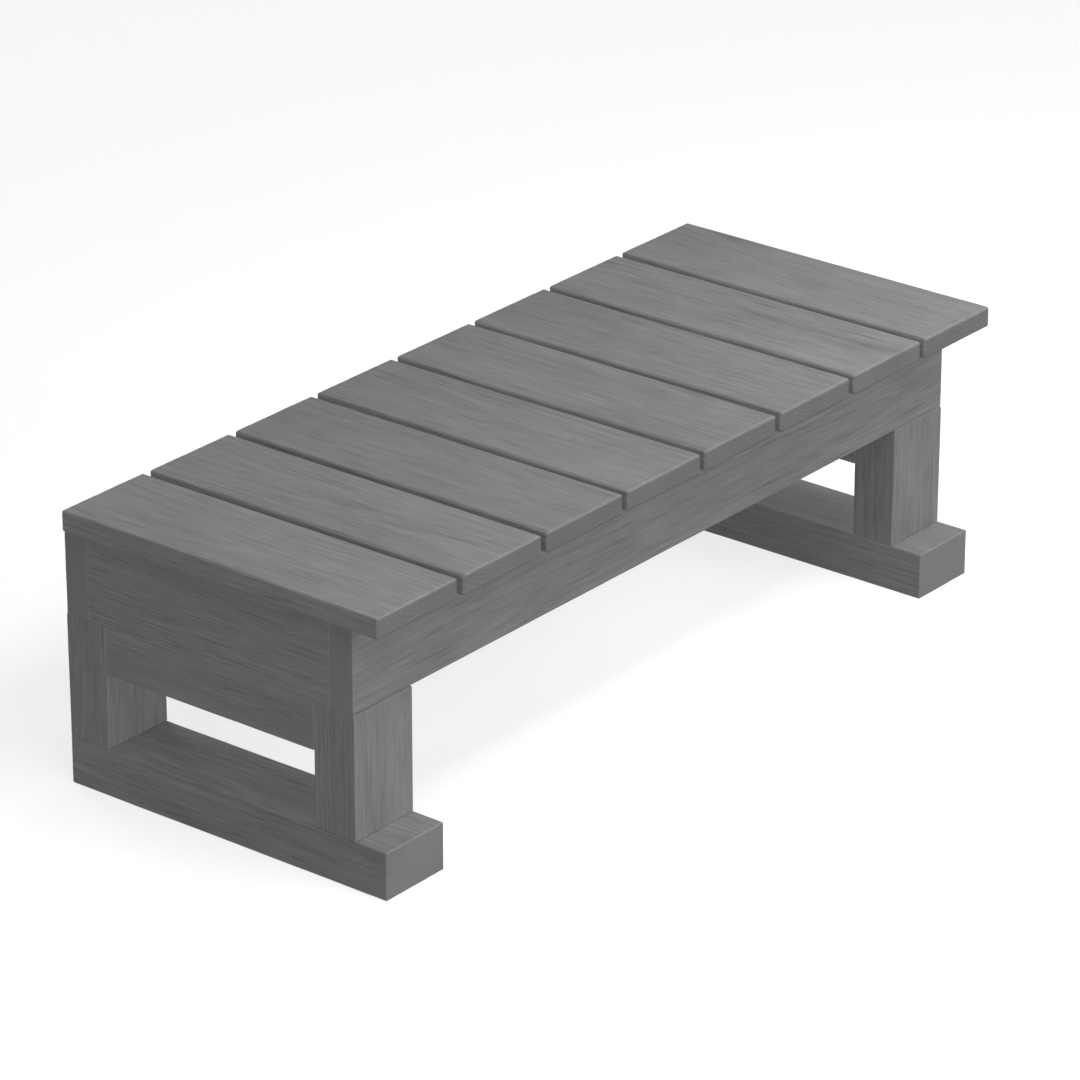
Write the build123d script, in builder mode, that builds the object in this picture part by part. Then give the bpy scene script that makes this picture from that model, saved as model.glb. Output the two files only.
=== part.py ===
"""Spa step: a slatted wooden tread on a box of aprons, carried by two sled-footed end frames.

Frame: +X along the tread, +Y from the front of the step to the spa behind it, +Z up.
The origin is on the ground, in the middle of the step's footprint. All sizes are in millimetres.
"""

import os
from dataclasses import dataclass

from build123d import *

# ---------------------------------------------------------------- driving dimensions

step_height = 213
step_depth = 290

slat_count = 8
slat_width = 82
slat_gap = 6
slat_length = 280
slat_thickness = 16

timber_wide = 60        # legs, rails and runners, along X
timber_thick = 36       # legs along Y, rails and runners along Z

apron_height = 68
apron_thickness = 20
reveal = 1.0            # long aprons stand this far behind the legs; end aprons are flush

end_overhang = 12       # slats past the outer faces of the end frames
front_overhang = 32     # slats past the front faces of the front legs
runner_lead = 26        # runners past the front faces of the front legs

cleat_size = 20
block_size = 36

slat_rounding = 2.0
timber_rounding = 1.5
cleat_rounding = 1.0

# Fasteners: how far apart they stand, and the room round them in their holes
hole_clearance = 0.05
hole_end_room = 0.5
slat_screw_spacing = 44
end_slat_screw_spacing = 60
end_cleat_screw_spacing = 60
block_screw_spacing = 24
runner_screw_spacing = 30
apron_rail_screw_spacing = 100
dowel_spacing = 20
frame_screw_inset = 7.5     # from the two inner faces of a corner block

dowel_radius = 4
dowel_length = 50
dowel_in_leg = 24
dowel_chamfer = 0.8

counterbore_radius = 7
counterbore_depth = 8


@dataclass
class Screw:
    """Radius of the shank, radius of the head, and length with the head."""

    shank: float
    head: float
    length: float


slat_screw = Screw(shank=2, head=4, length=30)
cleat_screw = Screw(shank=2, head=4, length=30)
block_screw = Screw(shank=2, head=4, length=45)
frame_screw = Screw(shank=2.5, head=5, length=80)
apron_rail_screw = Screw(shank=2.5, head=5, length=70)
runner_screw = Screw(shank=3, head=6, length=80)

head_rim = 0.3          # straight rim round a countersunk head
countersink_angle = 90
flange_thickness = 3    # the flat head of a runner screw
recess_width = 1.1
recess_depth = 1.5

# ---------------------------------------------------------------- levels and places

tread_length = slat_count * slat_width + (slat_count - 1) * slat_gap

runner_top = timber_thick
slat_bottom = step_height - slat_thickness
apron_bottom = slat_bottom - apron_height       # also the top of the legs and rails
rail_bottom = apron_bottom - timber_thick
cleat_bottom = slat_bottom - cleat_size
cleat_middle = slat_bottom - cleat_size / 2
block_middle = (apron_bottom + cleat_bottom) / 2
rail_middle = apron_bottom - timber_thick / 2

# Along Y, from the front
front = -step_depth / 2
back = step_depth / 2
leg_front = front + front_overhang
runner_front = leg_front - runner_lead
front_leg_back = leg_front + timber_thick
back_leg_front = back - timber_thick
apron_front = leg_front + reveal
box_front = apron_front + apron_thickness       # inner face of the front apron
apron_back = back - reveal
box_back = apron_back - apron_thickness         # inner face of the back apron
box_middle = (box_front + box_back) / 2
slat_back = front + slat_length

# Along X, as distances from the middle of the step
frame_outer = tread_length / 2 - end_overhang
frame_inner = frame_outer - timber_wide
frame_middle = (frame_outer + frame_inner) / 2
apron_outer = frame_outer
box_half = apron_outer - apron_thickness        # inner face of an end apron
block_inner = box_half - block_size

slat_pitch = slat_width + slat_gap
slat_middles = [(n - (slat_count - 1) / 2) * slat_pitch for n in range(slat_count)]
inner_slat_middles = slat_middles[1:-1]
outer_gaps = [-3 * slat_pitch, -slat_pitch, slat_pitch, 3 * slat_pitch]

sides = {"left": -1, "right": 1}
leg_fronts = {"front": leg_front, "back": back_leg_front}
# A corner block's face on its apron, its inner face, and the way from the first to the second
block_faces = {
    "front": (box_front, box_front + block_size, 1),
    "back": (box_back, box_back - block_size, -1),
}

# ---------------------------------------------------------------- where the fasteners go
# Each plane lies where a screw's head ends, and its normal points out of the hole's mouth.

slat_screw_planes = [
    Plane(origin=(middle + shift, cleat_y, cleat_bottom), z_dir=(0, 0, -1))
    for middle in inner_slat_middles
    for shift in (-slat_screw_spacing / 2, slat_screw_spacing / 2)
    for cleat_y in (box_front + cleat_size / 2, box_back - cleat_size / 2)
] + [
    Plane(
        origin=(sign * (box_half - cleat_size / 2), box_middle + shift, cleat_bottom),
        z_dir=(0, 0, -1),
    )
    for sign in sides.values()
    for shift in (-end_slat_screw_spacing, 0, end_slat_screw_spacing)
]

cleat_screw_planes = (
    [Plane(origin=(x, box_front + cleat_size, cleat_middle), z_dir=(0, 1, 0)) for x in outer_gaps]
    + [Plane(origin=(x, box_back - cleat_size, cleat_middle), z_dir=(0, -1, 0)) for x in outer_gaps]
    + [
        Plane(
            origin=(sign * (box_half - cleat_size), box_middle + shift, cleat_middle),
            z_dir=(-sign, 0, 0),
        )
        for sign in sides.values()
        for shift in (-end_cleat_screw_spacing / 2, end_cleat_screw_spacing / 2)
    ]
)

block_screw_planes = []
frame_screw_planes = []
for sign in sides.values():
    for apron_face, inner_face, inward in block_faces.values():
        block_x = sign * (box_half - block_size / 2)
        block_y = (apron_face + inner_face) / 2
        for shift in (-block_screw_spacing / 2, block_screw_spacing / 2):
            block_screw_planes.append(
                Plane(origin=(block_x, inner_face, block_middle + shift), z_dir=(0, inward, 0))
            )
        block_screw_planes.append(
            Plane(origin=(sign * block_inner, block_y, block_middle), z_dir=(-sign, 0, 0))
        )
        frame_screw_planes.append(
            Plane(
                origin=(
                    sign * (block_inner + frame_screw_inset),
                    inner_face - inward * frame_screw_inset,
                    cleat_bottom,
                ),
                z_dir=(0, 0, 1),
            )
        )

apron_rail_screw_planes = [
    Plane(
        origin=(sign * (apron_outer - apron_thickness / 2), box_middle + shift, rail_bottom),
        z_dir=(0, 0, -1),
    )
    for sign in sides.values()
    for shift in (-apron_rail_screw_spacing / 2, apron_rail_screw_spacing / 2)
]

runner_screw_planes = [
    Plane(
        origin=(sign * frame_middle + shift, leg_y + timber_thick / 2, 0),
        z_dir=(0, 0, -1),
    )
    for sign in sides.values()
    for shift in (-runner_screw_spacing / 2, runner_screw_spacing / 2)
    for leg_y in leg_fronts.values()
]

# A dowel's plane lies where the leg meets the rail, and its normal points into the rail.
dowel_planes = [
    Plane(origin=(sign * frame_middle + shift, joint_y, rail_middle), z_dir=(0, into_rail, 0))
    for sign in sides.values()
    for shift in (-dowel_spacing / 2, dowel_spacing / 2)
    for joint_y, into_rail in ((front_leg_back, 1), (back_leg_front, -1))
]

# ---------------------------------------------------------------- shared operations


def board(x_low, x_high, y_low, y_high, z_low, z_high):
    """Add a square-edged board between two corners to the part being built."""
    with Locations((x_low, y_low, z_low)):
        Box(x_high - x_low, y_high - y_low, z_high - z_low, align=(Align.MIN,) * 3)


def side_board(sign, x_inner, x_outer, y_low, y_high, z_low, z_high):
    """Add a board at one end of the step, where x_inner and x_outer are distances from the middle."""
    x_low, x_high = sorted((sign * x_inner, sign * x_outer))
    board(x_low, x_high, y_low, y_high, z_low, z_high)


def drill_for(screw, planes):
    """Cut the countersunk holes of these screws out of the part being built."""
    with Locations(*planes):
        CounterSinkHole(
            radius=screw.shank + hole_clearance,
            counter_sink_radius=screw.head + head_rim + hole_clearance,
            depth=screw.length + hole_end_room,
            counter_sink_angle=countersink_angle,
        )


def drill_for_runner_screws():
    """Cut the counterbored holes that hold the legs' screws out of the part being built."""
    with Locations(*runner_screw_planes):
        CounterBoreHole(
            radius=runner_screw.shank + hole_clearance,
            counter_bore_radius=counterbore_radius,
            counter_bore_depth=counterbore_depth,
            depth=counterbore_depth + runner_screw.length - flange_thickness + hole_end_room,
        )


def drill_for_dowels(deep):
    """Cut the dowels' blind holes out of a leg (deep=False) or a rail (deep=True)."""
    depth = (dowel_length - dowel_in_leg if deep else dowel_in_leg) + hole_end_room
    mouths = [Plane(p.origin, z_dir=-p.z_dir if deep else p.z_dir) for p in dowel_planes]
    with Locations(*mouths):
        Hole(radius=dowel_radius + hole_clearance, depth=depth)


def screw_body(screw, head_outline):
    """Turn a screw whose head has this outline, and sink a cross recess into the head."""
    tip_start = screw.length - 2 * screw.shank
    with BuildPart() as body:
        with BuildSketch(Plane.XZ):
            with BuildLine():
                Polyline(
                    (0, 0),
                    *head_outline,
                    (screw.shank, -tip_start),
                    (0, -screw.length),
                    close=True,
                )
            make_face()
        revolve(axis=Axis.Z)
        with BuildSketch():
            Rectangle(recess_width, screw.head)
            Rectangle(screw.head, recess_width)
        extrude(amount=-recess_depth, mode=Mode.SUBTRACT)
    return body.part


def countersunk(screw):
    """A wood screw with a flat countersunk head, its face at the origin, pointing down."""
    cone_end = head_rim + screw.head - screw.shank
    return screw_body(screw, [(screw.head, 0), (screw.head, -head_rim), (screw.shank, -cone_end)])


def flanged(screw):
    """A wood screw with a flat flanged head, its face at the origin, pointing down."""
    return screw_body(
        screw,
        [(screw.head, 0), (screw.head, -flange_thickness), (screw.shank, -flange_thickness)],
    )


def save(name, piece):
    """Label a finished piece and write it to its own STEP file."""
    piece.part.label = name
    export_step(piece.part, f"parts/{name}.step")


os.makedirs("parts", exist_ok=True)

# ---------------------------------------------------------------- end frames

for side, sign in sides.items():
    # The runner is the sled foot: it lies on the ground and runs out in front of the leg.
    with BuildPart() as runner:
        side_board(sign, frame_inner, frame_outer, runner_front, back, 0, runner_top)
        fillet(runner.edges(), radius=timber_rounding)
        drill_for_runner_screws()
    save(f"{side}_runner", runner)

    for end, leg_y in leg_fronts.items():
        with BuildPart() as leg:
            side_board(
                sign, frame_inner, frame_outer, leg_y, leg_y + timber_thick, runner_top, apron_bottom
            )
            fillet(leg.edges().filter_by(Axis.Z), radius=timber_rounding)
            drill_for_runner_screws()
            drill_for_dowels(deep=False)
        save(f"{side}_{end}_leg", leg)

    # The top rail closes the frame between the legs and carries the end apron.
    with BuildPart() as rail:
        side_board(
            sign, frame_inner, frame_outer, front_leg_back, back_leg_front, rail_bottom, apron_bottom
        )
        fillet(rail.edges().filter_by(Axis.Y), radius=timber_rounding)
        drill_for_dowels(deep=True)
        drill_for(frame_screw, frame_screw_planes)
        drill_for(apron_rail_screw, apron_rail_screw_planes)
    save(f"{side}_top_rail", rail)

# ---------------------------------------------------------------- apron box

# The front and back aprons run the whole length, so their end grain shows at the ends.
for end, apron_y in {"front": apron_front, "back": box_back}.items():
    with BuildPart() as long_apron:
        board(
            -apron_outer, apron_outer, apron_y, apron_y + apron_thickness, apron_bottom, slat_bottom
        )
        fillet(long_apron.edges(), radius=timber_rounding)
        drill_for(cleat_screw, cleat_screw_planes)
        drill_for(block_screw, block_screw_planes)
    save(f"{end}_apron", long_apron)

for side, sign in sides.items():
    with BuildPart() as end_apron:
        side_board(sign, box_half, apron_outer, box_front, box_back, apron_bottom, slat_bottom)
        fillet(end_apron.edges().filter_by(Axis.Y), radius=timber_rounding)
        drill_for(cleat_screw, cleat_screw_planes)
        drill_for(block_screw, block_screw_planes)
        drill_for(apron_rail_screw, apron_rail_screw_planes)
    save(f"{side}_end_apron", end_apron)

# ---------------------------------------------------------------- cleats and corner blocks

# The cleats run round the inside of the box and hold the slats down from beneath.
for end, cleat_y in {"front": box_front, "back": box_back - cleat_size}.items():
    with BuildPart() as long_cleat:
        board(-box_half, box_half, cleat_y, cleat_y + cleat_size, cleat_bottom, slat_bottom)
        fillet(long_cleat.edges().filter_by(Axis.X), radius=cleat_rounding)
        drill_for(slat_screw, slat_screw_planes)
        drill_for(cleat_screw, cleat_screw_planes)
    save(f"{end}_cleat", long_cleat)

for side, sign in sides.items():
    with BuildPart() as end_cleat:
        side_board(
            sign,
            box_half - cleat_size,
            box_half,
            box_front + cleat_size,
            box_back - cleat_size,
            cleat_bottom,
            slat_bottom,
        )
        fillet(end_cleat.edges().filter_by(Axis.Y), radius=cleat_rounding)
        drill_for(slat_screw, slat_screw_planes)
        drill_for(cleat_screw, cleat_screw_planes)
    save(f"{side}_end_cleat", end_cleat)

    # A block in each corner ties the aprons to each other and down to the end frame.
    for end, (apron_face, inner_face, _) in block_faces.items():
        y_low, y_high = sorted((apron_face, inner_face))
        with BuildPart() as block:
            side_board(sign, block_inner, box_half, y_low, y_high, apron_bottom, cleat_bottom)
            fillet(block.edges().filter_by(Axis.Z), radius=cleat_rounding)
            drill_for(block_screw, block_screw_planes)
            drill_for(frame_screw, frame_screw_planes)
        save(f"{side}_{end}_corner_block", block)

# ---------------------------------------------------------------- tread slats

for number, middle in enumerate(slat_middles, start=1):
    with BuildPart() as slat:
        board(
            middle - slat_width / 2,
            middle + slat_width / 2,
            front,
            slat_back,
            slat_bottom,
            step_height,
        )
        fillet(slat.edges(), radius=slat_rounding)
        drill_for(slat_screw, slat_screw_planes)
    save(f"slat_{number}", slat)

# ---------------------------------------------------------------- fasteners

with BuildPart() as slat_screws:
    with Locations(*slat_screw_planes):
        add(countersunk(slat_screw))
save("slat_screws", slat_screws)

with BuildPart() as cleat_screws:
    with Locations(*cleat_screw_planes):
        add(countersunk(cleat_screw))
save("cleat_screws", cleat_screws)

with BuildPart() as corner_block_screws:
    with Locations(*block_screw_planes):
        add(countersunk(block_screw))
save("corner_block_screws", corner_block_screws)

with BuildPart() as frame_screws:
    with Locations(*frame_screw_planes):
        add(countersunk(frame_screw))
save("frame_screws", frame_screws)

with BuildPart() as apron_rail_screws:
    with Locations(*apron_rail_screw_planes):
        add(countersunk(apron_rail_screw))
save("apron_rail_screws", apron_rail_screws)

# The flange of a runner screw seats on the floor of its counterbore.
with BuildPart() as runner_screws:
    with Locations(*[p.offset(flange_thickness - counterbore_depth) for p in runner_screw_planes]):
        add(flanged(runner_screw))
save("runner_screws", runner_screws)

with BuildPart() as rail_dowels:
    with Locations(*[p.offset(-dowel_in_leg) for p in dowel_planes]):
        Cylinder(dowel_radius, dowel_length, align=(Align.CENTER, Align.CENTER, Align.MIN))
    chamfer(rail_dowels.edges().filter_by(GeomType.CIRCLE), length=dowel_chamfer)
save("rail_dowels", rail_dowels)
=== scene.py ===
"""A slatted wooden spa step in grey stained softwood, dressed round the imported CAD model."""

import math

import bmesh
import bpy
import numpy as np
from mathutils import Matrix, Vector


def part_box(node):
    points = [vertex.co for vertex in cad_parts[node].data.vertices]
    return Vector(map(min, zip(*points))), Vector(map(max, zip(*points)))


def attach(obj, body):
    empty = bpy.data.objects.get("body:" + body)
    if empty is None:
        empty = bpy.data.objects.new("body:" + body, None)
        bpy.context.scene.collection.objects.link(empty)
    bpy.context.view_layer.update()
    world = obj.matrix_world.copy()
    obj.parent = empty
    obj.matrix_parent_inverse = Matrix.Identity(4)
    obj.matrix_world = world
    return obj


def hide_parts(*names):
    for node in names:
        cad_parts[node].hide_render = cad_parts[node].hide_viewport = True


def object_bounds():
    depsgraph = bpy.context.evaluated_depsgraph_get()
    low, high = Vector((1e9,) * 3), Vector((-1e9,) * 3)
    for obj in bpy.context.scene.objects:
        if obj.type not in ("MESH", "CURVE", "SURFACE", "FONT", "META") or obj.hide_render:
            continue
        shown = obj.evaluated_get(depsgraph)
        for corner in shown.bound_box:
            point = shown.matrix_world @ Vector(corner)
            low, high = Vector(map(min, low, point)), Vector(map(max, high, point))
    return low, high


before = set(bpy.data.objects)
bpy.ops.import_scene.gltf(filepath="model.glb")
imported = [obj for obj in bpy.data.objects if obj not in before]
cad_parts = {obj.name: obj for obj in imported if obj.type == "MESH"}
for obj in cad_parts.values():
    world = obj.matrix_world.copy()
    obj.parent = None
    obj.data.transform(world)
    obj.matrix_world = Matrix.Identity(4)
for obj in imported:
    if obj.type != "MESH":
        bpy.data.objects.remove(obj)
cad_low, cad_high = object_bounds()
scene = bpy.context.scene

MM = 0.001

# ---------------------------------------------------------------- driving values

# Camera: where it stands seen from the middle of the step, and how much of the frame the step fills
CAMERA_AZIMUTH = math.radians(-51.4)
CAMERA_ELEVATION = math.radians(24.1)
CAMERA_DISTANCE = 3.95
STEP_SHARE_OF_FRAME = 0.86
SENSOR = 36.0

# Boards: their surfaces lie a little inside the CAD's, so that no two surfaces coincide
SKIN = 0.03 * MM
ARC_STEPS = 3
ACROSS_STEP = 1.35 * MM
ALONG_STEP = 8 * MM
SLAT_EDGE = 2.0 * MM
TIMBER_EDGE = 1.0 * MM
FLUSH_EDGE = 0.4 * MM        # boards that meet flush, edge to edge
JOINT_EDGE = 0.3 * MM        # sawn ends that meet another board
EDGE_ROW = 0.6 * MM          # the narrow row of faces beside an eased edge
MOST_TRIMMED = 0.5 * MM      # sawn slats are this much short of their full length at most
SHARP_ANGLE = math.radians(40)

# Relief: how far soft wood lies below hard wood, how uneven a face is, and how far an arris is worn down
RING_RELIEF = 0.1 * MM
WAVE_RELIEF = 0.15 * MM
ARRIS_WEAR = 0.16            # the most, as a share of the arris's radius
EVEN_WEAR = 0.25             # the share of that wear which is there without a nick

# Ripples: smooth noise made of waves. Each kind has its length across and along the grain.
RIPPLE_WAVES = 7
RIPPLE_SPREAD = (0.6, 1.6)
RIPPLES = {
    "ring_wobble": (45 * MM, 260 * MM),
    "fine_wobble": (14 * MM, 110 * MM),
    "waves": (40 * MM, 160 * MM),
    "nicks": (9 * MM, 22 * MM),
}
RING_WOBBLE = 1.6 * MM
FINE_WOBBLE = 0.25 * MM

# Logs, in millimetres: how far the pith lies from a board's middle, and the width of a year
PITH_ASIDE = 16
PITH_DEPTHS = (22, 60)
PITH_SLOPES = (0.02, 0.025)
RING_WIDTHS = (2.6, 3.6)

# Seeds: each board has its own, and each thing drawn at random adds its own number to it
OUTER_SEED = 100
INNER_SEED = 600
DOWEL_SEED = 1000
SEED_STEP = 10
DRAWS = {"log": 0, "ring_wobble": 1, "fine_wobble": 2, "waves": 3, "nicks": 4, "trim": 6, "shift": 9}

# Holes for each kind of fastener, in millimetres: the radius of the bore, and of the mouth round the head
HOLES = {
    "slat_screws": (2.05, 4.35),
    "cleat_screws": (2.05, 4.35),
    "corner_block_screws": (2.05, 4.35),
    "frame_screws": (2.55, 5.35),
    "apron_rail_screws": (2.55, 5.35),
    "runner_screws": (3.05, 7.0),
    "rail_dowels": (4.05, 4.05),
}
HOLE_END_ROOM = 0.5          # how far a hole runs past both ends of its fastener
RUNNER_SCREW_SUNK = 6.0      # more than the depth of a runner screw's head below the wood
RUNNER_SCREW_FLANGE = 3.0
HOLE_SIDES = 32
SAME_POINT = 1e-6            # in metres
END_SLACK = 0.2 * MM         # points this near to a fastener's end belong to that end

# Stain: the colour of a board of tone 1, as linear light
STAIN = (0.1445, 0.1445, 0.1445)

# Tones of the slats from left to right, and of the other boards. The slats' tones were fitted to how bright
# they stand in the light, so part of their spread is painted light: the rise towards the right-hand slats
# stands for more light falling there
SLAT_TONES_AND_LIGHT = (1.01, 0.95, 0.93, 0.93, 0.955, 0.965, 1.01, 1.015)
APRON_TONE = 1.02
FRAME_TONE = 1.0
INNER_TONE = 0.92
DOWEL_TONE = 2.2
SLAT_END_TONE = 0.855
FRAME_END_TONE = 1.12

# Figure of the wood: how much each noise is squeezed along the fibres, its scale, detail and roughness
LONG_FIBRES = 0.028
FIBRES = 0.04
BLOTCHES = 0.25
EVEN = 1.0
FIGURE_NOISE = {
    "fray": (FIBRES, 700, 2, 0.5),
    "patch": (BLOTCHES, 22, 2, 0.5),
    "streak": (LONG_FIBRES, 300, 3, 0.6),
    "thin": (LONG_FIBRES, 800, 2, 0.6),
    "fine": (FIBRES, 1500, 2, 0.6),
    "broad": (BLOTCHES, 26, 3, 0.5),
    "cloud": (BLOTCHES, 110, 2, 0.5),
    "speck": (FIBRES, 2300, 1, 0.5),
    "wear": (EVEN, 90, 3, 0.5),
}
GRAIN_SHIFT = 3              # the most, in metres, that a board's figure is shifted to make it differ

# What is made of those noises: the levels between which each is eased in, and how strong it is at each
FIGURE_PATCHES = (-0.2, 0.2, 0.4, 1.0)
RUBBED_AND_HIGHLIT_PATCHES = (-0.15, 0.15, 0.35, 1.0)
DARK_STREAKS = (-0.06, -0.2)
PORES = (0.12, 0.24)

# A year of growth: how dark the wood is as the year goes by, and how ragged the years' edges are
LATE_WOOD = 0.85
YEAR = ((0.0, 0.05), (0.45, 0.18), (LATE_WOOD, 1.0), (0.93, 0.9), (1.0, 0.05))
RAGGED = 0.3

# How much each part of the figure adds to the level of a face, of end grain, and to other properties
FACE_LEVEL = 1.09
ON_FACE = {
    "late": -0.15,
    "streak": 0.5,
    "thin": 0.6,
    "fine": 0.72,
    "broad": 0.36,
    "cloud": 0.34,
    "dark": -0.12,
    "pore": -0.1,
}
ON_END = {"late": -0.2, "pore": -0.12, "fine": 0.4, "broad": 0.3}
WOOD_ROUGHNESS = 0.65
ON_ROUGHNESS = {"fine": 0.34, "end": 0.1, "late": -0.07}
ON_HEIGHT = {"fine": 0.4, "thin": 0.4, "late": 0.25, "pore": -0.5}
WOOD_BUMP = (0.55, 0.35 * MM)
WOOD_SPECULAR = 0.35

# Arrises made paler, partly for stain worn off by rubbing and partly as a painted highlight along each
# rounded edge: how far from the edge the paler band reaches, and how much paler it makes the wood
RUBBED_AND_HIGHLIT_TO = 2.4 * MM
RUBBED_AND_HIGHLIT_BARE = 0.5 * MM
RUBBED_AND_HIGHLIT_PALER = 0.05
END_GRAIN_FROM = 0.55        # how squarely a surface faces along the fibres where end grain starts
END_GRAIN_FULL = 0.85

# Steel: its grey and roughness, each as the least and how much the noise adds
STEEL_GREY = (0.36, 0.2)
STEEL_ROUGHNESS = (0.22, 0.25)
STEEL_BUMP = (0.2, 0.05 * MM)
STEEL_CLOUDS = 400
STEEL_SCRATCHES = 4000

# Suns: the direction of each, its strength, and whether it casts shadows
SUNS = {
    "key": ((0.15, -0.84, 0.52), 0.83, True),
    "front_fill": ((0.15, -0.84, 0.52), 1.74, False),
    "side": ((-0.85, -0.3, 0.3), 0.33, True),
    "side_fill": ((-0.95, -0.2, 0.15), 1.0, False),
    "rim_back": ((0.4, 0.9, 0.1), 1.6, True),
    "rim_right": ((0.95, 0.1, 0.1), 1.1, True),
}
SOFTNESS = math.radians(35)

# Softboxes facing down: the middle and size of each in metres, its power, and whether it casts shadows
SOFTBOXES = {
    "over_front": ((0.0, -0.35, 0.75), (1.6, 0.25), 5.8, True),
    "over_front_fill": ((0.0, -0.35, 0.75), (1.6, 0.25), 0.65, False),
    "over_right": ((0.7, -0.2, 0.75), (0.3, 0.3), 1.6, False),
}

# World: how strong the light from above and from below is, and how softly they meet
SKY_STRENGTH = 0.07
GROUND_STRENGTH = 0.07
HORIZON = 0.1

# Floor: how much light it scatters, and how much it glows, which keeps its shadows faint
FLOOR_REACH = 30.0
FLOOR_COLOR = (0.6, 0.6, 0.6)
FLOOR_GLOW = 0.48
FLOOR_ROUGHNESS = 0.9

AXES = {"X": 0, "Y": 1, "Z": 2}


# ---------------------------------------------------------------- wood as a solid


def ripples(points, seed, lengths):
    """Smooth noise from about -1 to 1 at each point: waves of about these lengths along x, y and z."""
    rng = np.random.default_rng(seed)
    total = np.zeros(len(points))
    for _ in range(RIPPLE_WAVES):
        direction = rng.normal(size=3)
        direction /= np.linalg.norm(direction)
        wave = 2 * math.pi * direction * rng.uniform(*RIPPLE_SPREAD) / np.array(lengths)
        total += np.sin(points @ wave + rng.uniform(0, 2 * math.pi))
    return total / math.sqrt(RIPPLE_WAVES)


class Log:
    """The trunk that a board is cut from: where its pith runs past the board, and how fast it grew."""

    def __init__(self, node, axis, seed):
        self.seed = seed
        rng = self.draw("log")
        low, high = (np.array(corner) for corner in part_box(node))
        self.middle = (low + high) / 2
        self.along = AXES[axis]
        self.wide, self.thick = sorted(
            (i for i in range(3) if i != self.along), key=lambda i: low[i] - high[i]
        )
        side = rng.choice([-1, 1])
        self.pith_wide = rng.normal(0, PITH_ASIDE) * MM
        self.pith_thick = side * rng.uniform(*PITH_DEPTHS) * MM
        self.slope_wide = rng.normal(0, PITH_SLOPES[0])
        self.slope_thick = rng.normal(0, PITH_SLOPES[1])
        self.ring_width = rng.uniform(*RING_WIDTHS) * MM

    def draw(self, what):
        """A source of random numbers for one thing about this board."""
        return np.random.default_rng(self.seed + DRAWS[what])

    def ripples(self, points, kind):
        """Ripples of one kind, drawn out along the grain."""
        across, along = RIPPLES[kind]
        lengths = [across] * 3
        lengths[self.along] = along
        return ripples(points, self.seed + DRAWS[kind], lengths)

    def growth(self, points):
        """The number of the year that each point grew in, counted from the pith, with its fraction."""
        local = points - self.middle
        run = local[:, self.along]
        wide = local[:, self.wide] - self.pith_wide - self.slope_wide * run
        thick = local[:, self.thick] - self.pith_thick - self.slope_thick * run
        radius = np.hypot(wide, thick)
        radius = radius + RING_WOBBLE * self.ripples(points, "ring_wobble")
        radius = radius + FINE_WOBBLE * self.ripples(points, "fine_wobble")
        return radius / self.ring_width


# ---------------------------------------------------------------- boards


def board_stations(half, edge, step):
    """Places from -half to half along one axis: close together over an eased edge, even between."""
    turned = half - edge + edge * np.tan(np.linspace(math.pi / 4, 0, ARC_STEPS + 1))
    flat = half - edge - EDGE_ROW
    between = np.linspace(-flat, flat, max(2, round(2 * flat / step)) + 1)
    return np.concatenate([-turned, between, turned[::-1]])


def lattice_quads(index):
    """The faces all round a lattice, from the numbers of its points. They face outward."""
    quads = []
    for axis in range(3):
        for end, outward in ((0, False), (-1, True)):
            side = np.take(index, end, axis=axis)
            corners = np.stack([side[:-1, :-1], side[1:, :-1], side[1:, 1:], side[:-1, 1:]], -1)
            if outward == (axis == 1):
                corners = corners[..., ::-1]
            quads.append(corners.reshape(-1, 4))
    return np.concatenate(quads)


def board_lattice(halves, edges, steps):
    """Points on the surface of a box with eased edges, their normals, and the box's quads."""
    stations = [board_stations(h, e, s) for h, e, s in zip(halves, edges, steps)]
    counts = [len(s) for s in stations]
    on_surface = np.zeros(counts, bool)
    for axis in range(3):
        ends = [slice(None)] * 3
        for end in (0, -1):
            ends[axis] = end
            on_surface[tuple(ends)] = True
    index = np.full(counts, -1)
    index[on_surface] = np.arange(on_surface.sum())

    grid = np.stack(np.meshgrid(*stations, indexing="ij"), -1)[on_surface]
    flats = np.array(halves) - np.array(edges)
    inner = np.clip(grid, -flats, flats)
    reach = (grid - inner) / np.array(edges)
    reach /= np.linalg.norm(reach, axis=1)[:, None]
    normals = reach / np.array(edges)
    normals /= np.linalg.norm(normals, axis=1)[:, None]
    return inner + reach * np.array(edges), normals, lattice_quads(index)


def relief(log, points, normals, edges):
    """How far the surface lies below a new board's at each point: soft wood, waves and worn arrises."""
    year = log.growth(points) % 1.0
    late = 0.5 + 0.5 * np.cos(2 * math.pi * (year - LATE_WOOD))
    depth = RING_RELIEF * (1 - late)
    depth += WAVE_RELIEF * (0.5 + 0.25 * log.ripples(points, "waves")).clip(0, 1)
    turned = np.abs(normals)
    turn = 1 - turned.max(1)
    radius = turned.sum(1) / (turned / edges).sum(1)
    nicks = log.ripples(points, "nicks").clip(0, None)
    wear = EVEN_WEAR + (1 - EVEN_WEAR) * nicks**2
    return depth + ARRIS_WEAR * radius * (turn / turn.max()) * wear


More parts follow.
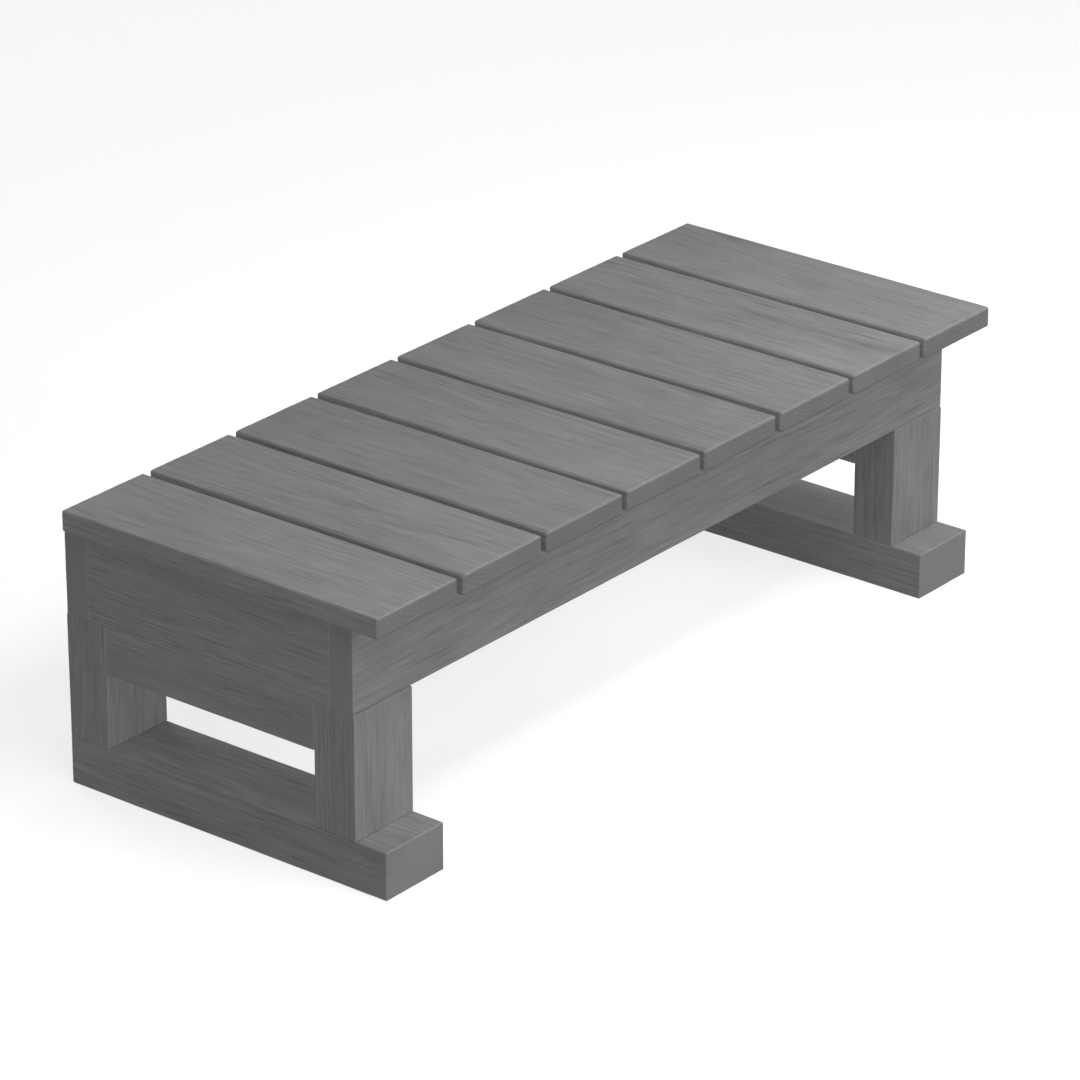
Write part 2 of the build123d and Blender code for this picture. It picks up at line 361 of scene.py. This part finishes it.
def make_board(node, log, edge, end_edge, trimmed=0.0):
    """A sawn, planed board in the place of a CAD node: eased edges, raised grain and the node's holes."""
    low, high = (np.array(corner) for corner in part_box(node))
    rng = log.draw("trim")
    low[log.along] += rng.uniform(0, trimmed)
    high[log.along] -= rng.uniform(0, trimmed)
    edges = [edge] * 3
    edges[log.along] = end_edge
    steps = [ACROSS_STEP] * 3
    steps[log.along] = ALONG_STEP
    points, normals, quads = board_lattice((high - low) / 2 - SKIN, edges, steps)
    points += (low + high) / 2
    points -= normals * relief(log, points, normals, edges)[:, None]

    mesh = bpy.data.meshes.new(node + "_board")
    mesh.from_pydata(points.tolist(), [], quads.tolist())
    board = bpy.data.objects.new(node + "_board", mesh)
    scene.collection.objects.link(board)
    drill(board, low, high)
    mesh = board.data
    mesh.shade_smooth()
    mesh.set_sharp_from_angle(angle=SHARP_ANGLE)
    growth = mesh.attributes.new("growth", "FLOAT", "POINT")
    growth.data.foreach_set("value", log.growth(coordinates(mesh)).astype(np.float32))
    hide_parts(node)
    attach(board, "root")
    return board


def coordinates(mesh):
    """The places of a mesh's vertices."""
    found = np.empty(len(mesh.vertices) * 3)
    mesh.vertices.foreach_get("co", found)
    return found.reshape(-1, 3)


# ---------------------------------------------------------------- holes


def solids_of(node):
    """The points of each separate solid in a CAD node.

    The vertices are walked in their own order, not in a set's, which is another one each run.
    """
    shape = bmesh.new()
    shape.from_mesh(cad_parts[node].data)
    bmesh.ops.remove_doubles(shape, verts=shape.verts, dist=SAME_POINT)
    seen = set()
    solids = []
    for first in shape.verts:
        if first in seen:
            continue
        seen.add(first)
        reached = [first]
        for vert in reached:
            for edge in vert.link_edges:
                other = edge.other_vert(vert)
                if other not in seen:
                    seen.add(other)
                    reached.append(other)
        solids.append(np.array([vert.co[:] for vert in reached]))
    shape.free()
    return solids


def head_and_tip(points):
    """Where a fastener's axis meets its head's face, and its tip."""
    low, high = points.min(0), points.max(0)
    along = int(np.argmax(high - low))
    ends = []
    for end in (low, high):
        place = (low + high) / 2
        place[along] = end[along]
        near = points[np.abs(points[:, along] - end[along]) < END_SLACK]
        ends.append((np.linalg.norm(near - place, axis=1).max(), place))
    ends.sort(key=lambda end: -end[0])
    return ends[0][1], ends[1][1]


def hole_outline(node, length):
    """Depth below the head's face, and radius, down the hole of a fastener of this length."""
    bore, mouth = HOLES[node]
    bottom = length + HOLE_END_ROOM
    if node == "rail_dowels":
        return [(-HOLE_END_ROOM, bore), (bottom, bore)]
    if node == "runner_screws":
        flange = RUNNER_SCREW_FLANGE
        return [(-RUNNER_SCREW_SUNK, mouth), (flange, mouth), (flange, bore), (bottom, bore)]
    return [(-HOLE_END_ROOM, mouth + HOLE_END_ROOM), (mouth - bore, bore), (bottom, bore)]


def hole_solid(head, tip, outline):
    """The points and faces of a round solid that fills a hole."""
    axis = tip - head
    axis /= np.linalg.norm(axis)
    aside = np.roll(axis, 1)
    up = np.cross(axis, aside)
    turns = np.linspace(0, 2 * math.pi, HOLE_SIDES, endpoint=False)[:, None]
    circle = np.cos(turns) * aside + np.sin(turns) * up
    points = np.concatenate([head + deep * MM * axis + radius * MM * circle for deep, radius in outline])
    first = list(range(HOLE_SIDES))
    faces = [first[::-1], [i + HOLE_SIDES * (len(outline) - 1) for i in first]]
    for ring in range(len(outline) - 1):
        for i in first:
            a, b = ring * HOLE_SIDES + i, ring * HOLE_SIDES + (i + 1) % HOLE_SIDES
            faces.append([a, b, b + HOLE_SIDES, a + HOLE_SIDES])
    return points, faces


def holes_near(low, high):
    """The points and faces of every hole that reaches into this box."""
    points, faces = [], []
    for node, head, tip in fasteners:
        start, end = np.minimum(head, tip), np.maximum(head, tip)
        if np.all(start < high) and np.all(end > low):
            length = np.linalg.norm(tip - head) / MM
            more_points, more_faces = hole_solid(head, tip, hole_outline(node, length))
            faces += [[i + len(points) for i in face] for face in more_faces]
            points += more_points.tolist()
    return points, faces


def drill(board, low, high):
    """Cut the holes of all fasteners that reach into the board."""
    points, faces = holes_near(low, high)
    mesh = bpy.data.meshes.new("cutter")
    mesh.from_pydata(points, [], faces)
    cutter = bpy.data.objects.new("cutter", mesh)
    scene.collection.objects.link(cutter)
    cut = board.modifiers.new("holes", "BOOLEAN")
    cut.operation = "DIFFERENCE"
    cut.solver = "EXACT"
    cut.object = cutter
    bpy.context.view_layer.update()
    evaluated = board.evaluated_get(bpy.context.evaluated_depsgraph_get())
    drilled = bpy.data.meshes.new_from_object(evaluated)
    board.modifiers.clear()
    board.data = drilled
    bpy.data.objects.remove(cutter)


# ---------------------------------------------------------------- node trees


class Tree:
    """A node tree with short ways to add and join nodes."""

    def __init__(self, tree):
        self.tree = tree

    def node(self, kind, inputs=None, **settings):
        """A new node with these settings, its inputs set or joined."""
        made = self.tree.nodes.new(kind)
        for name, value in settings.items():
            setattr(made, name, value)
        for name, value in (inputs or {}).items():
            self.feed(made.inputs[name], value)
        return made

    def feed(self, socket, value):
        """Join a socket to another one, or set its value."""
        if isinstance(value, bpy.types.NodeSocket):
            self.tree.links.new(value, socket)
        else:
            socket.default_value = value

    def math(self, operation, a, b=0.0):
        return self.node("ShaderNodeMath", {0: a, 1: b}, operation=operation).outputs[0]

    def vector(self, operation, a, b=(0, 0, 0)):
        return self.node("ShaderNodeVectorMath", {0: a, 1: b}, operation=operation).outputs[0]

    def total(self, start, gains, parts):
        """start, and each part times its gain, added up."""
        for name, gain in gains.items():
            start = self.math("ADD", start, self.math("MULTIPLY", parts[name], gain))
        return start

    def smooth(self, value, low, high, out_low=0.0, out_high=1.0):
        """value, eased from out_low at low to out_high at high."""
        made = self.node(
            "ShaderNodeMapRange",
            {"Value": value, "From Min": low, "From Max": high, "To Min": out_low, "To Max": out_high},
            interpolation_type="SMOOTHSTEP",
        )
        return made.outputs["Result"]

    def noise(self, vector, scale, detail, roughness=0.5):
        """Noise from 0 to 1 at each place."""
        made = self.node(
            "ShaderNodeTexNoise",
            {"Vector": vector, "Scale": scale, "Detail": detail, "Roughness": roughness},
        )
        return made.outputs["Fac"]

    def ramp(self, value, stops):
        """A level for each value, straight between the stops."""
        made = self.node("ShaderNodeValToRGB", {"Fac": value})
        elements = made.color_ramp.elements
        while len(elements) < len(stops):
            elements.new(0.5)
        for element, (place, level) in zip(elements, stops):
            element.position = place
            element.color = (level, level, level, 1)
        return made.outputs["Color"]

    def surface(self, colour, roughness, height, bump, others):
        """The shader and the output of a material, with a bump of this strength and distance."""
        strength, distance = bump
        bumps = self.node(
            "ShaderNodeBump", {"Strength": strength, "Distance": distance, "Height": height}
        )
        inputs = {"Base Color": colour, "Roughness": roughness, "Normal": bumps.outputs[0], **others}
        shader = self.node("ShaderNodeBsdfPrincipled", inputs)
        self.node("ShaderNodeOutputMaterial", {"Surface": shader.outputs[0]})


def new_material(name):
    """An empty material, and its tree."""
    material = bpy.data.materials.new(name)
    material.use_nodes = True
    material.node_tree.nodes.clear()
    return material, Tree(material.node_tree)


def paint(piece, material):
    """Give a piece this one material."""
    piece.data.materials.clear()
    piece.data.materials.append(material)


# ---------------------------------------------------------------- wood as a material


def figure_parts(t, place, growth, end):
    """Every part of the figure by name: the noises from -0.5 to 0.5, the others from 0 to 1."""
    parts = {"end": end}
    for name, (squeeze, scale, detail, roughness) in FIGURE_NOISE.items():
        squeezed = t.vector("MULTIPLY", place, (1.0, 1.0, squeeze))
        parts[name] = t.math("SUBTRACT", t.noise(squeezed, scale, detail, roughness), 0.5)
    year = t.math("FRACT", t.total(growth, {"fray": RAGGED}, parts))
    patchy = t.smooth(parts["patch"], *FIGURE_PATCHES)
    parts["late"] = t.math("MULTIPLY", t.ramp(year, YEAR), patchy)
    parts["dark"] = t.smooth(parts["thin"], *DARK_STREAKS)
    parts["pore"] = t.smooth(parts["speck"], *PORES)
    return parts


def rubbed_and_highlit(t, arris, wear):
    """How much paler the wood is near an arris, in patches: partly stain worn off, partly a painted
    highlight along the rounded edge.
    """
    near = t.smooth(arris, RUBBED_AND_HIGHLIT_TO, RUBBED_AND_HIGHLIT_BARE)
    patchy = t.smooth(wear, *RUBBED_AND_HIGHLIT_PATCHES)
    return t.math("MULTIPLY", t.math("MULTIPLY", near, patchy), RUBBED_AND_HIGHLIT_PALER)


def grain_group():
    """A node group that turns grain coordinates into the colour, roughness and height of stained wood.

    Grain is the place in metres with z along the fibres. Growth counts the years from the pith. End is
    1 on end grain. Arris is the distance to the nearest edge of the board. Tone scales the colour, and
    End Tone takes the place of the face's level on end grain.
    """
    group = bpy.data.node_groups.new("stained_wood", "ShaderNodeTree")
    for name in ("Grain", "Growth", "End", "Arris", "Tone", "End Tone", "Stain"):
        kind = {"Grain": "NodeSocketVector", "Stain": "NodeSocketColor"}.get(name, "NodeSocketFloat")
        group.interface.new_socket(name, in_out="INPUT", socket_type=kind)
    for name in ("Color", "Roughness", "Height"):
        kind = "NodeSocketColor" if name == "Color" else "NodeSocketFloat"
        group.interface.new_socket(name, in_out="OUTPUT", socket_type=kind)

    t = Tree(group)
    given = t.node("NodeGroupInput").outputs
    parts = figure_parts(t, given["Grain"], given["Growth"], given["End"])
    face = t.total(FACE_LEVEL, ON_FACE, parts)
    end_grain = t.total(given["End Tone"], ON_END, parts)
    level = t.node(
        "ShaderNodeMix", {"Factor": given["End"], 2: face, 3: end_grain}, data_type="FLOAT"
    ).outputs[0]
    # Near each arris the level is raised: partly stain worn off, partly a painted highlight on the rounded
    # edge
    level = t.math("ADD", level, rubbed_and_highlit(t, given["Arris"], parts["wear"]))
    level = t.math("MULTIPLY", level, given["Tone"])
    colour = t.node("ShaderNodeVectorMath", {0: given["Stain"], "Scale": level}, operation="SCALE")
    t.node(
        "NodeGroupOutput",
        {
            "Color": colour.outputs[0],
            "Roughness": t.total(WOOD_ROUGHNESS, ON_ROUGHNESS, parts),
            "Height": t.total(0.0, ON_HEIGHT, parts),
        },
    )


def median_of(t, a, b, c):
    """The middle one of three values."""
    least = t.math("MINIMUM", a, b)
    most = t.math("MAXIMUM", a, b)
    return t.math("MAXIMUM", least, t.math("MINIMUM", most, c))


def straight_growth(t, log, wide, thick):
    """The years at a place, counted from a straight pith."""
    across = t.node(
        "ShaderNodeCombineXYZ",
        {0: t.math("SUBTRACT", wide, log.pith_wide), 1: t.math("SUBTRACT", thick, log.pith_thick)},
    ).outputs[0]
    radius = t.node("ShaderNodeVectorMath", {0: across}, operation="LENGTH").outputs["Value"]
    return t.math("DIVIDE", radius, log.ring_width)


def wood(node, log, tone, end_tone=1.0, growth_in_mesh=False):
    """Stained wood for one board, its fibres along the log and its arrises where the board ends."""
    material, t = new_material(node + "_wood")
    low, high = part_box(node)
    place = t.node("ShaderNodeTexCoord").outputs
    from_middle = t.vector("SUBTRACT", place["Object"], (low + high) / 2)
    parts = t.node("ShaderNodeSeparateXYZ", {0: from_middle}).outputs
    wide, thick, along = parts[log.wide], parts[log.thick], parts[log.along]

    shift = [float(v) for v in log.draw("shift").uniform(-GRAIN_SHIFT, GRAIN_SHIFT, 3)]
    shifted = [t.math("ADD", v, s) for v, s in zip((wide, thick, along), shift)]
    grain = t.node("ShaderNodeCombineXYZ", dict(enumerate(shifted))).outputs[0]
    if growth_in_mesh:
        growth = t.node("ShaderNodeAttribute", attribute_name="growth").outputs["Fac"]
    else:
        growth = straight_growth(t, log, wide, thick)
    normal = t.node("ShaderNodeSeparateXYZ", {0: place["Normal"]}).outputs[log.along]
    end = t.smooth(t.math("ABSOLUTE", normal), END_GRAIN_FROM, END_GRAIN_FULL)
    gaps = [
        t.math("SUBTRACT", half, t.math("ABSOLUTE", part))
        for half, part in zip((high - low) / 2, parts)
    ]

    inputs = {
        "Grain": grain,
        "Growth": growth,
        "End": end,
        "Arris": median_of(t, *gaps),
        "Tone": tone,
        "End Tone": end_tone,
        "Stain": (*STAIN, 1),
    }
    made = t.node("ShaderNodeGroup", node_tree=bpy.data.node_groups["stained_wood"])
    for name, value in inputs.items():
        t.feed(made.inputs[name], value)
    look = made.outputs
    others = {"Specular IOR Level": WOOD_SPECULAR}
    t.surface(look["Color"], look["Roughness"], look["Height"], WOOD_BUMP, others)
    return material


# ---------------------------------------------------------------- steel


def steel():
    """Plain stainless screws: a turned metal with fine scratches and a little dullness."""
    material, t = new_material("screw_steel")
    place = t.node("ShaderNodeTexCoord").outputs["Object"]
    cloud = t.noise(place, STEEL_CLOUDS, 3)
    scratch = t.noise(t.vector("MULTIPLY", place, (1, 0.1, 1)), STEEL_SCRATCHES, 2)
    least_grey, more_grey = STEEL_GREY
    least_rough, more_rough = STEEL_ROUGHNESS
    grey = t.total(least_grey, {"cloud": more_grey}, {"cloud": cloud})
    rough = t.total(least_rough, {"scratch": more_rough}, {"scratch": scratch})
    colour = t.node("ShaderNodeCombineXYZ", {0: grey, 1: grey, 2: grey}).outputs[0]
    t.surface(colour, rough, scratch, STEEL_BUMP, {"Metallic": 1.0})
    return material


# ---------------------------------------------------------------- the step


def outer_boards():
    """Each board that shows: its node, the axis of its grain, its tone, and its edges along and across."""
    # The slats' tones carry painted light: they grow paler towards the right, where more light falls
    boards = [(f"slat_{n}", "Y", tone, SLAT_EDGE, SLAT_EDGE) for n, tone in enumerate(SLAT_TONES_AND_LIGHT, 1)]
    for end in ("front", "back"):
        boards.append((f"{end}_apron", "X", APRON_TONE, FLUSH_EDGE, JOINT_EDGE))
    for side in ("left", "right"):
        boards.append((f"{side}_end_apron", "Y", APRON_TONE, FLUSH_EDGE, JOINT_EDGE))
        boards.append((f"{side}_top_rail", "Y", FRAME_TONE, FLUSH_EDGE, JOINT_EDGE))
        boards.append((f"{side}_runner", "Y", FRAME_TONE, TIMBER_EDGE, TIMBER_EDGE))
        for end in ("front", "back"):
            boards.append((f"{side}_{end}_leg", "Z", FRAME_TONE, TIMBER_EDGE, FLUSH_EDGE))
    return boards


def inner_timbers():
    """Each timber inside the step, and the axis of its grain."""
    timbers = [("front_cleat", "X"), ("back_cleat", "X"), ("left_end_cleat", "Y"), ("right_end_cleat", "Y")]
    for side in ("left", "right"):
        for end in ("front", "back"):
            timbers.append((f"{side}_{end}_corner_block", "Z"))
    return timbers


def dress_outer_boards():
    """Put a worn board in the place of each CAD board that shows."""
    for number, (node, axis, tone, edge, end_edge) in enumerate(outer_boards()):
        log = Log(node, axis, OUTER_SEED + SEED_STEP * number)
        is_slat = node.startswith("slat")
        board = make_board(node, log, edge, end_edge, trimmed=MOST_TRIMMED if is_slat else 0.0)
        end_tone = SLAT_END_TONE if is_slat else FRAME_END_TONE
        paint(board, wood(node, log, tone, end_tone, growth_in_mesh=True))


def paint_inner_pieces():
    """Give the CAD's own timbers, screws and dowels their materials."""
    for number, (node, axis) in enumerate(inner_timbers()):
        log = Log(node, axis, INNER_SEED + SEED_STEP * number)
        paint(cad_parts[node], wood(node, log, INNER_TONE))
    metal = steel()
    for node in sorted(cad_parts):
        if node.endswith("screws"):
            paint(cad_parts[node], metal)
    dowel_log = Log("rail_dowels", "Y", DOWEL_SEED)
    paint(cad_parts["rail_dowels"], wood("rail_dowels", dowel_log, DOWEL_TONE))


# ---------------------------------------------------------------- floor, light and camera


def make_floor():
    """A wide pale floor. It doesn't light the step: the world's light from below stands in for that."""
    mesh = bpy.data.meshes.new("floor")
    far = FLOOR_REACH
    mesh.from_pydata([(-far, -far, 0), (far, -far, 0), (far, far, 0), (-far, far, 0)], [], [(0, 1, 2, 3)])
    floor = bpy.data.objects.new("floor", mesh)
    scene.collection.objects.link(floor)
    material = bpy.data.materials.new("floor")
    material.use_nodes = True
    shader = material.node_tree.nodes["Principled BSDF"]
    shader.inputs["Base Color"].default_value = (*FLOOR_COLOR, 1)
    shader.inputs["Roughness"].default_value = FLOOR_ROUGHNESS
    shader.inputs["Emission Color"].default_value = (1, 1, 1, 1)
    shader.inputs["Emission Strength"].default_value = FLOOR_GLOW
    material.cycles.emission_sampling = "NONE"
    mesh.materials.append(material)
    floor.visible_diffuse = False


def make_world():
    """Soft light from all round: one strength from the sky, and another from the ground."""
    world = bpy.data.worlds.new("studio")
    world.use_nodes = True
    t = Tree(world.node_tree)
    t.tree.nodes.clear()
    direction = t.node("ShaderNodeTexCoord").outputs["Generated"]
    height = t.node("ShaderNodeSeparateXYZ", {0: direction}).outputs["Z"]
    strength = t.smooth(height, -HORIZON, HORIZON, GROUND_STRENGTH, SKY_STRENGTH)
    background = t.node("ShaderNodeBackground", {"Color": (1, 1, 1, 1), "Strength": strength})
    t.node("ShaderNodeOutputWorld", {"Surface": background.outputs[0]})
    scene.world = world


def make_light(name, kind, power, shadow):
    """A light of one kind, linked into the scene."""
    data = bpy.data.lights.new(name, kind)
    data.energy = power
    data.use_shadow = shadow
    light = bpy.data.objects.new(name, data)
    scene.collection.objects.link(light)
    return light


def make_sun(name, towards, strength, shadow):
    """A soft light from far away in this direction."""
    light = make_light(name, "SUN", strength, shadow)
    light.data.angle = SOFTNESS
    direction = Vector(towards).normalized()
    light.location = middle + direction
    light.rotation_euler = direction.to_track_quat("Z", "Y").to_euler()


def make_softbox(name, place, size, power, shadow):
    """A rectangular light that faces down, which the camera doesn't see."""
    light = make_light(name, "AREA", power, shadow)
    light.data.shape = "RECTANGLE"
    light.data.size, light.data.size_y = size
    light.location = place
    light.visible_camera = False


def make_camera():
    """A camera that looks at the middle of the step from the front left, a little above it."""
    back = Vector(
        (
            math.sin(CAMERA_AZIMUTH) * math.cos(CAMERA_ELEVATION),
            -math.cos(CAMERA_AZIMUTH) * math.cos(CAMERA_ELEVATION),
            math.sin(CAMERA_ELEVATION),
        )
    )
    half = (cad_high - cad_low) / 2
    seen_width = 2 * (half.x * math.cos(CAMERA_AZIMUTH) + half.y * -math.sin(CAMERA_AZIMUTH))
    data = bpy.data.cameras.new("camera")
    data.sensor_width = SENSOR
    data.lens = SENSOR * CAMERA_DISTANCE / (seen_width / STEP_SHARE_OF_FRAME)
    camera = bpy.data.objects.new("camera", data)
    scene.collection.objects.link(camera)
    camera.location = middle + back * CAMERA_DISTANCE
    camera.rotation_euler = back.to_track_quat("Z", "Y").to_euler()
    scene.camera = camera


grain_group()
fasteners = [(node, *head_and_tip(solid)) for node in HOLES for solid in solids_of(node)]
dress_outer_boards()
paint_inner_pieces()

middle = (cad_low + cad_high) / 2
make_camera()
make_floor()
for name, (towards, strength, shadow) in SUNS.items():
    make_sun(name, towards, strength, shadow)
for name, (place, size, power, shadow) in SOFTBOXES.items():
    make_softbox(name, place, size, power, shadow)
make_world()
scene.view_settings.view_transform = "Standard"
